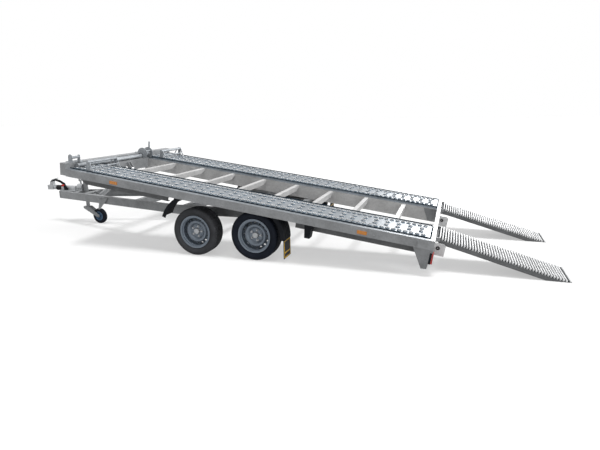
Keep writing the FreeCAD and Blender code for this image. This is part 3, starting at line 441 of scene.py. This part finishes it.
def set_light():
    world = bpy.data.worlds.new("studio")
    SCENE.world = world
    world.use_nodes = True
    tree = world.node_tree
    background = tree.nodes["Background"]
    background.inputs["Color"].default_value = (1, 1, 1, 1)
    mix = tree.nodes.new("ShaderNodeMapRange")
    mix.inputs["To Min"].default_value = AMBIENT
    mix.inputs["To Max"].default_value = 1.0
    tree.links.new(seen_directly(tree), mix.inputs["Value"])
    link(tree, mix, "Result", background, "Strength")
    for name, place, strength, spread in SUNS:
        data = bpy.data.lights.new(name, "SUN")
        data.energy = strength
        data.angle = math.radians(spread)
        add_light(data, place, (0.0, 0.0, 0.0))
    data = bpy.data.lights.new("far", "AREA")
    data.energy = 300.0
    data.size = 3.5
    add_light(data, FAR_LAMP_PLACE, FAR_LAMP_AIM)
    SCENE.view_settings.view_transform = "Standard"


# ---------------------------------------------------------------- tracks
ROW_Y = (0.567, 0.679, 0.791, 0.903)
ROW_WIDTH = 0.112
HOLE_PITCH = 0.0566
HOLE_START = 0.012
PLANK_OUTER = 0.973
GROOVE = 0.014
STRIP = 0.026
COLLAR_SIDE = ((0.0228, 0.0), (0.0220, 0.0060), (0.0208, 0.0082))
COLLAR_TOP = ((0.0208, 0.0082), (0.0184, 0.0104), (0.0164, 0.0088))
HOLE_RADIUS = 0.0162
LIP_HEIGHT = 0.009
STIFFENER_Y = (0.560, 0.700, 0.840)
STIFFENER_DEPTH = 0.040
STIFFENER_WALL = 0.004


def hole_angles(u0, u1, y0, y1, cu, cy):
    """Angles round a hole that include the corners of its cell."""
    corners = [math.atan2(y - cy, u - cu) for u, y in ((u1, y1), (u0, y1), (u0, y0), (u1, y0))]
    angles = []
    for k, a in enumerate(corners):
        b = corners[(k + 1) % 4]
        while b <= a:
            b += 2 * math.pi
        angles += [a + (b - a) * i / 6 for i in range(6)]
    return angles


def hole_cell(plate, sides, collars, holes, u0, u1, y0, y1):
    """One piece of plate with a raised, open collar in it."""
    cu, cy = (u0 + u1) / 2, (y0 + y1) / 2
    angles = hole_angles(u0, u1, y0, y1, cu, cy)

    def circle(radius, height):
        return [(cu + radius * math.cos(a), cy + radius * math.sin(a), height) for a in angles]

    def square(height):
        points = []
        for a in angles:
            c, s = math.cos(a), math.sin(a)
            reach = min((u1 - u0) / 2 / max(abs(c), 1e-9), (y1 - y0) / 2 / max(abs(s), 1e-9))
            points.append((cu + reach * c, cy + reach * s, height))
        return points

    plate.loops([square(0.0), circle(*COLLAR_SIDE[0])])
    plate.loops([circle(HOLE_RADIUS, -PLATE), square(-PLATE)])
    # The collar sides carry painted shade, the collar tops a painted highlight, and the hole linings painted shade
    # reaching below the plate.
    sides.loops([circle(*ring) for ring in COLLAR_SIDE])
    collars.loops([circle(*ring) for ring in COLLAR_TOP])
    holes.loops([circle(*COLLAR_TOP[-1]), circle(HOLE_RADIUS, -PLATE), circle(HOLE_RADIUS, -PLATE - 0.006)])


def make_tracks():
    for name, mirror in (("track_right", False), ("track_left", True)):
        plate, sides, collars, holes, edge = Mesh(), Mesh(), Mesh(), Mesh(), Mesh()
        pairs = int((TRACK_LENGTH - HOLE_START) / (2 * HOLE_PITCH))
        end = HOLE_START + 2 * HOLE_PITCH * pairs
        for row, y in enumerate(ROW_Y):
            y0, y1 = y - ROW_WIDTH / 2, y + ROW_WIDTH / 2
            plate.box(0, HOLE_START, y0, y1, -PLATE, 0)
            plate.box(end, TRACK_LENGTH - GROOVE, y0, y1, -PLATE, 0)
            step = 2 * HOLE_PITCH if row in (1, 2) else HOLE_PITCH
            for i in range(round((end - HOLE_START) / step)):
                u = HOLE_START + step * i
                hole_cell(plate, sides, collars, holes, u, u + step, y0, y1)
        low, high = ROW_Y[0] - ROW_WIDTH / 2, ROW_Y[-1] + ROW_WIDTH / 2
        end_u = TRACK_LENGTH - GROOVE
        plate.box(0, end_u, PLANK_INNER + STRIP, low, -PLATE, 0)
        plate.box(0, end_u, high, PLANK_OUTER, -PLATE, 0)
        plate.box(0, TRACK_LENGTH, PLANK_OUTER + GROOVE, TRACK_OUTER, -PLATE, 0)
        plate.box(0, end_u, PLANK_INNER + PLATE, PLANK_INNER + STRIP, -PLATE, 0)
        plate.box(0, end_u, PLANK_INNER, PLANK_INNER + PLATE, -LEDGE_DROP, -PLATE)
        plate.box(0, TRACK_LENGTH, TRACK_INNER, PLANK_INNER + PLATE, -LEDGE_DROP - PLATE, -LEDGE_DROP)
        # Upturned lips along both plank edges, coloured with painted shade.
        edge.box(0, end_u, PLANK_INNER, PLANK_INNER + PLATE, -PLATE, LIP_HEIGHT)
        edge.box(0, end_u, PLANK_OUTER, PLANK_OUTER + PLATE, -PLATE, LIP_HEIGHT)
        for y in STIFFENER_Y:
            plate.box(0, TRACK_LENGTH, y, y + STIFFENER_WALL, -STIFFENER_DEPTH, -PLATE - 0.0002)
        # Dark strips in the outer groove and the end groove: painted shade in the gaps.
        holes.box(0, TRACK_LENGTH, PLANK_OUTER - 0.002, PLANK_OUTER + GROOVE + 0.002, -0.0062, -0.0052)
        holes.box(TRACK_LENGTH - GROOVE - 0.002, TRACK_LENGTH, PLANK_INNER, PLANK_OUTER, -0.0072, -0.0064)
        parts = ((plate, "plate", ZINC_TRACK, 40), (sides, "sides", COLLAR_SIDE_SHADE, 60),
                 (collars, "collars", COLLAR_TOP_HIGHLIGHT, 60), (holes, "holes", HOLE_SHADE, 40),
                 (edge, "edge", LIP_EDGE_SHADE, 40))
        for mesh, part, material, angle in parts:
            piece = mesh.build("%s_%s" % (name, part), material, DECK_MATRIX, mirror, smooth=angle)
            seat(piece, "deck", "galvanised_steel", name)


# ---------------------------------------------------------------- ramps
SIDE_WALL = 0.006
BAR_START = 0.030
BAR_PITCH = 0.0258
BAR_DEPTH = 0.0135
NOTCH_DEPTH = 0.0045
NOTCH_PITCH = 0.046


def ramp_bar(mesh, s, depth, rise, fall):
    """Cross bar with rounded ends, notched along its top."""
    notch, tooth = NOTCH_DEPTH, NOTCH_PITCH
    y0, y1 = RAMP_INNER, RAMP_OUTER
    ys = [(y0, -0.012), (y0 + 0.002, -0.005), (y0 + 0.008, 0.0)]
    teeth = int((y1 - y0 - 0.03) / tooth)
    start = (y0 + y1 - teeth * tooth) / 2
    for k in range(teeth):
        a = start + k * tooth
        ys += [(a + 0.008, 0.0), (a + 0.011, -notch), (a + 0.017, -notch), (a + 0.020, 0.0)]
    ys += [(y1 - 0.008, 0.0), (y1 - 0.002, -0.005), (y1, -0.012)]
    loops = []
    for y, drop in ys:
        top = rise + drop
        loops.append([(s, y, fall), (s, y, top - 0.003), (s + 0.003, y, top), (s + depth - 0.003, y, top),
                      (s + depth, y, top - 0.003), (s + depth, y, fall)])
    mesh.loops(loops, closed_ends=True)


def make_ramps():
    web_top = -0.001
    web = [(0.020, RAMP_BOTTOM), (RAMP_LENGTH - RAMP_BEVEL, RAMP_BOTTOM), (RAMP_LENGTH, RAMP_TIP),
           (RAMP_LENGTH, RAMP_TIP + 0.004), (RAMP_LENGTH - 0.060, web_top), (0.030, web_top), (0.024, 0.018),
           (-0.008, 0.018), (-0.014, 0.008), (-0.014, -0.010), (0.0, -0.022)]
    pitch, depth = BAR_PITCH, BAR_DEPTH
    count = int((RAMP_LENGTH - 0.052) / pitch)
    shade_sheet_y = (RAMP_INNER + SIDE_WALL + 0.0005, RAMP_OUTER - SIDE_WALL - 0.0005)
    for name, mirror in (("ramp_right", False), ("ramp_left", True)):
        sides, bars, shade_sheet = Mesh(), Mesh(), Mesh()
        for y, inward in ((RAMP_INNER, 1), (RAMP_OUTER, -1)):
            sides.plate(web, *sorted((y, y + inward * SIDE_WALL)))
            lip0, lip1 = sorted((y, y + inward * 0.032))
            sides.box(0.030, RAMP_LENGTH - RAMP_BEVEL, lip0, lip1, RAMP_BOTTOM, RAMP_BOTTOM + 0.004)
        for i in range(count):
            s = BAR_START + i * pitch
            ground = RAMP_TIP - (RAMP_LENGTH - s - depth) * math.tan(RAMP_ANGLE)
            ramp_bar(bars, s, depth, RAMP_TOP, max(0.0, ground + 0.0005))
        ramp_bar(bars, BAR_START - pitch, depth, RAMP_TOP, 0.0125)
        # A near-black sheet under the bars and at the hinge: painted shade where the ground would show through the
        # gaps.
        shade_sheet.box(-0.006, 0.030, *shade_sheet_y, 0.0104, 0.0124)
        bars.box(RAMP_LENGTH - 0.014, RAMP_LENGTH, RAMP_INNER + 0.001, RAMP_OUTER - 0.001,
                 RAMP_TIP, RAMP_TOP - 0.004)
        tail = RAMP_LENGTH - 0.060
        shade_sheet.plate([(0.026, -0.003), (tail, -0.003), (RAMP_LENGTH - 0.016, 0.010), (RAMP_LENGTH - 0.016, 0.012),
                   (tail, 0.001), (0.026, 0.001)], *shade_sheet_y)
        parts = ((sides, "sides", ZINC_DARK, 0.001), (bars, "bars", ZINC_BRIGHT, 0.0),
                 (shade_sheet, "shade_sheet", ZINC_SHADE, 0.0))
        for mesh, part, material, bevel in parts:
            piece = mesh.build("%s_%s" % (name, part), material, RAMP_MATRIX, mirror, smooth=40, bevel=bevel)
            seat(piece, name, "galvanised_steel", name)


# ---------------------------------------------------------------- tyres and wheel trim
def tyre_profile():
    """Cross-section (y, radius): tread ribs and grooves, shoulders, sidewalls with rings, beads and lining."""
    half = TYRE_HALF
    outer = [(0.070, BEAD_RADIUS), (0.070, 0.183), (0.076, 0.188), (0.083, 0.192), (0.0845, 0.197),
             (0.089, 0.203), (half - 0.002, 0.214), (half, 0.224), (half - 0.001, 0.233),
             (half - 0.0045, 0.241), (0.090, 0.248), (0.085, 0.2545), (0.077, 0.2590),
             (0.066, TYRE_RADIUS - 0.0012)]
    tread = []
    for groove in (0.048, 0.016, -0.016, -0.048):
        tread += [(groove + 0.0045, TYRE_RADIUS), (groove + 0.003, TYRE_RADIUS - 0.007),
                  (groove - 0.003, TYRE_RADIUS - 0.007), (groove - 0.0045, TYRE_RADIUS)]
    back = [(-y, r) for y, r in reversed(outer)]
    lining = [(-0.059, BEAD_RADIUS), (-0.059, 0.186), (-0.080, 0.210), (-0.076, 0.238), (-0.060, 0.2490),
              (0.060, 0.2490), (0.076, 0.238), (0.080, 0.210), (0.059, 0.186), (0.059, BEAD_RADIUS)]
    return outer + tread + back + lining


def make_tyres():
    def blocks(i, y, r):
        """Shoulder blocks and slots across the ribs."""
        if r > 0.2575 and 0.050 < abs(y) < 0.080:
            return r - (0.005 if (i + (0 if y > 0 else 2)) % 5 == 0 else 0.0)
        if r > 0.262 and abs(y) < 0.045:
            return r - (0.003 if (i + int(abs(y) * 200)) % 5 == 0 else 0.0)
        return r

    for end in ("front", "rear"):
        for side, sign in (("left", -1), ("right", 1)):
            name = "%s_%s" % (end, side)
            centre = Vector(JOINTS["wheel_" + name]["pos_m"])
            mesh = Mesh()
            mesh.lathe(tyre_profile(), centre, steps=320, shape=blocks)
            rubber = TYRE if end == "front" else TYRE_DARK
            tread = mesh.build("tread_" + name, rubber, smooth=35)
            seat(tread, "wheel_" + name, "tyre_rubber", "tyre_" + name)
            make_wheel_trim(name, centre, sign)


def make_wheel_trim(name, centre, sign):
    """Wheel nuts, pressed hub star, hub cap, rim ring and valve on one wheel."""
    body = "wheel_" + name
    face = 0.0200

    def turned(profile, shape=None, steps=96):
        mesh = Mesh()
        mesh.lathe([(sign * y, r) for y, r in profile], centre, steps=steps, shape=shape)
        return mesh

    def five_points(i, y, r):
        return r + (0.006 * math.cos(5 * 2 * math.pi * i / 120) if r > 0.05 else 0)

    star = turned([(face + 0.0002, 0.036), (face + 0.0002, 0.066), (face + 0.0030, 0.064),
                   (face + 0.0045, 0.058), (face + 0.0045, 0.036)], shape=five_points, steps=120)
    seat(star.build("star_" + name, RIM, smooth=35), body, "wheel_steel")
    cap = turned([(face, 0.0285), (face, 0.0350), (face + 0.006, 0.0335), (face + 0.010, 0.0310),
                  (face + 0.026, 0.0300), (face + 0.0290, 0.0270), (face + 0.0300, 0.0200),
                  (face + 0.0305, 0.0010), (face + 0.0285, 0.0010), (face + 0.0285, 0.0285)])
    seat(cap.build("cap_" + name, CASTING, smooth=35), body, "silver_casting")
    ring = turned([(0.0786, 0.1745), (0.0800, 0.1790), (0.0792, 0.1822), (0.0766, 0.1828), (0.0766, 0.1745)])
    seat(ring.build("flange_" + name, RIM, smooth=50), body, "wheel_steel")
    step = turned([(0.0500, 0.1606), (0.0500, 0.1560), (0.0530, 0.1530), (0.0570, 0.1530), (0.0600, 0.1560),
                   (0.0600, 0.1606)])
    seat(step.build("step_" + name, RIM, smooth=50), body, "wheel_steel")
    nuts = Mesh()
    for i in range(5):
        a = 2 * math.pi * i / 5
        spot = centre + Vector((0.056 * math.cos(a), sign * face, 0.056 * math.sin(a)))
        nuts.rod(spot, spot + Vector((0, sign * 0.008, 0)), 0.0130, sides=24)
        nuts.rod(spot + Vector((0, sign * 0.008, 0)), spot + Vector((0, sign * 0.021, 0)), 0.0098, sides=6)
    seat(nuts.build("nuts_" + name, CASTING, smooth=30, bevel=0.0008), body, "silver_casting")
    valve = Mesh()
    a = math.radians(-70)
    spot = centre + Vector((0.146 * math.cos(a), sign * 0.010, 0.146 * math.sin(a)))
    valve.rod(spot, spot + Vector((0, sign * 0.034, 0)), 0.0042, sides=12)
    valve.rod(spot + Vector((0, sign * 0.030, 0)), spot + Vector((0, sign * 0.046, 0)), 0.0056, sides=12)
    seat(valve.build("valve_" + name, RUBBER, smooth=30), body, "black_rubber")


# ---------------------------------------------------------------- mud flaps and guards
def make_flaps():
    """Yellow border lines on both faces of each flap."""
    low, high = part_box("mud_flaps")
    for side, sign in (("left", -1), ("right", 1)):
        y0, y1 = (low[1], low[1] + 0.196) if sign < 0 else (high[1] - 0.196, high[1])
        y0, y1 = y0 + 0.004, y1 - 0.004
        border = Mesh()
        wide = 0.012
        top, bottom = low[2] + 0.190, low[2] + 0.004
        band = bottom + 0.052
        lines = ((y0, y1, top - wide, top), (y0, y1, bottom, bottom + wide), (y0, y0 + wide, bottom, top),
                 (y1 - wide, y1, bottom, top), (y0, y1, band, band + wide))
        for a, b, c, d in lines:
            for x in (low[0] - 0.0008, high[0]):
                border.box(x, x + 0.0008, a, b, c, d)
        seat(border.build("flap_border_" + side, YELLOW), "deck", "black_rubber")


def make_guard_ridges():
    """Raised bands that follow each mudguard's curve."""
    for end, radius, start, stop in (("front", 0.415, 112.0, 156.0), ("rear", 0.345, -3.0, 38.0)):
        hub = Vector(JOINTS["wheel_%s_left" % end]["pos_m"])
        for side, sign in (("left", -1), ("right", 1)):
            mesh = Mesh()
            for y in (0.845, 0.888, 0.931, 0.974, 1.012):
                loops = []
                for t in np.radians(np.linspace(start, stop, 15)):
                    loops.append([(hub.x + q * math.cos(t), sign * (y + w), hub.z + q * math.sin(t))
                                  for q, w in ((radius - 0.001, -0.009), (radius + 0.004, -0.006),
                                               (radius + 0.004, 0.006), (radius - 0.001, 0.009))])
                mesh.loops(loops, closed_ends=True)
            seat(mesh.build("guard_ridges_%s_%s" % (end, side), BLACK, smooth=30), "deck", "black_plastic")


# ---------------------------------------------------------------- lashing eyes
def make_bushings():
    """Dark rings in the eyes of the plates behind the rear beam."""
    mesh = Mesh()
    for y in (-0.900, -0.250, 0.250, 0.900):
        mesh.lathe([(-0.0065, 0.0040), (-0.0070, 0.0180), (-0.0052, 0.0195), (0.0052, 0.0195),
                    (0.0070, 0.0180), (0.0065, 0.0040)], (DECK_LENGTH + 0.036, y, -0.098), steps=32)
    seat(mesh.build("eye_bushings", RUBBER, DECK_MATRIX, smooth=40), "deck", "black_rubber")


# ---------------------------------------------------------------- bolts
BOLT_U = (0.06, 0.14, 0.95, 1.02, 1.95, 2.02, 2.70, 2.86, 3.40, 3.62, 4.02, 4.12)
BOLT_H = (-0.030, -0.062)


def make_bolts():
    """Hexagon heads on the side rails."""
    mesh = Mesh()
    for sign in (-1, 1):
        y = sign * HALF_WIDTH
        for u in BOLT_U:
            for h in BOLT_H:
                mesh.rod((u, y, h), (u, y + sign * 0.0035, h), 0.0085, sides=6)
    seat(mesh.build("rail_bolts", ZINC, DECK_MATRIX, smooth=30), "deck", "galvanised_steel")


# ---------------------------------------------------------------- assemble
set_camera()
set_stage()
set_light()
finish_cad_nodes()
make_tracks()
make_ramps()
make_tyres()
make_flaps()
make_guard_ridges()
make_bushings()
make_bolts()
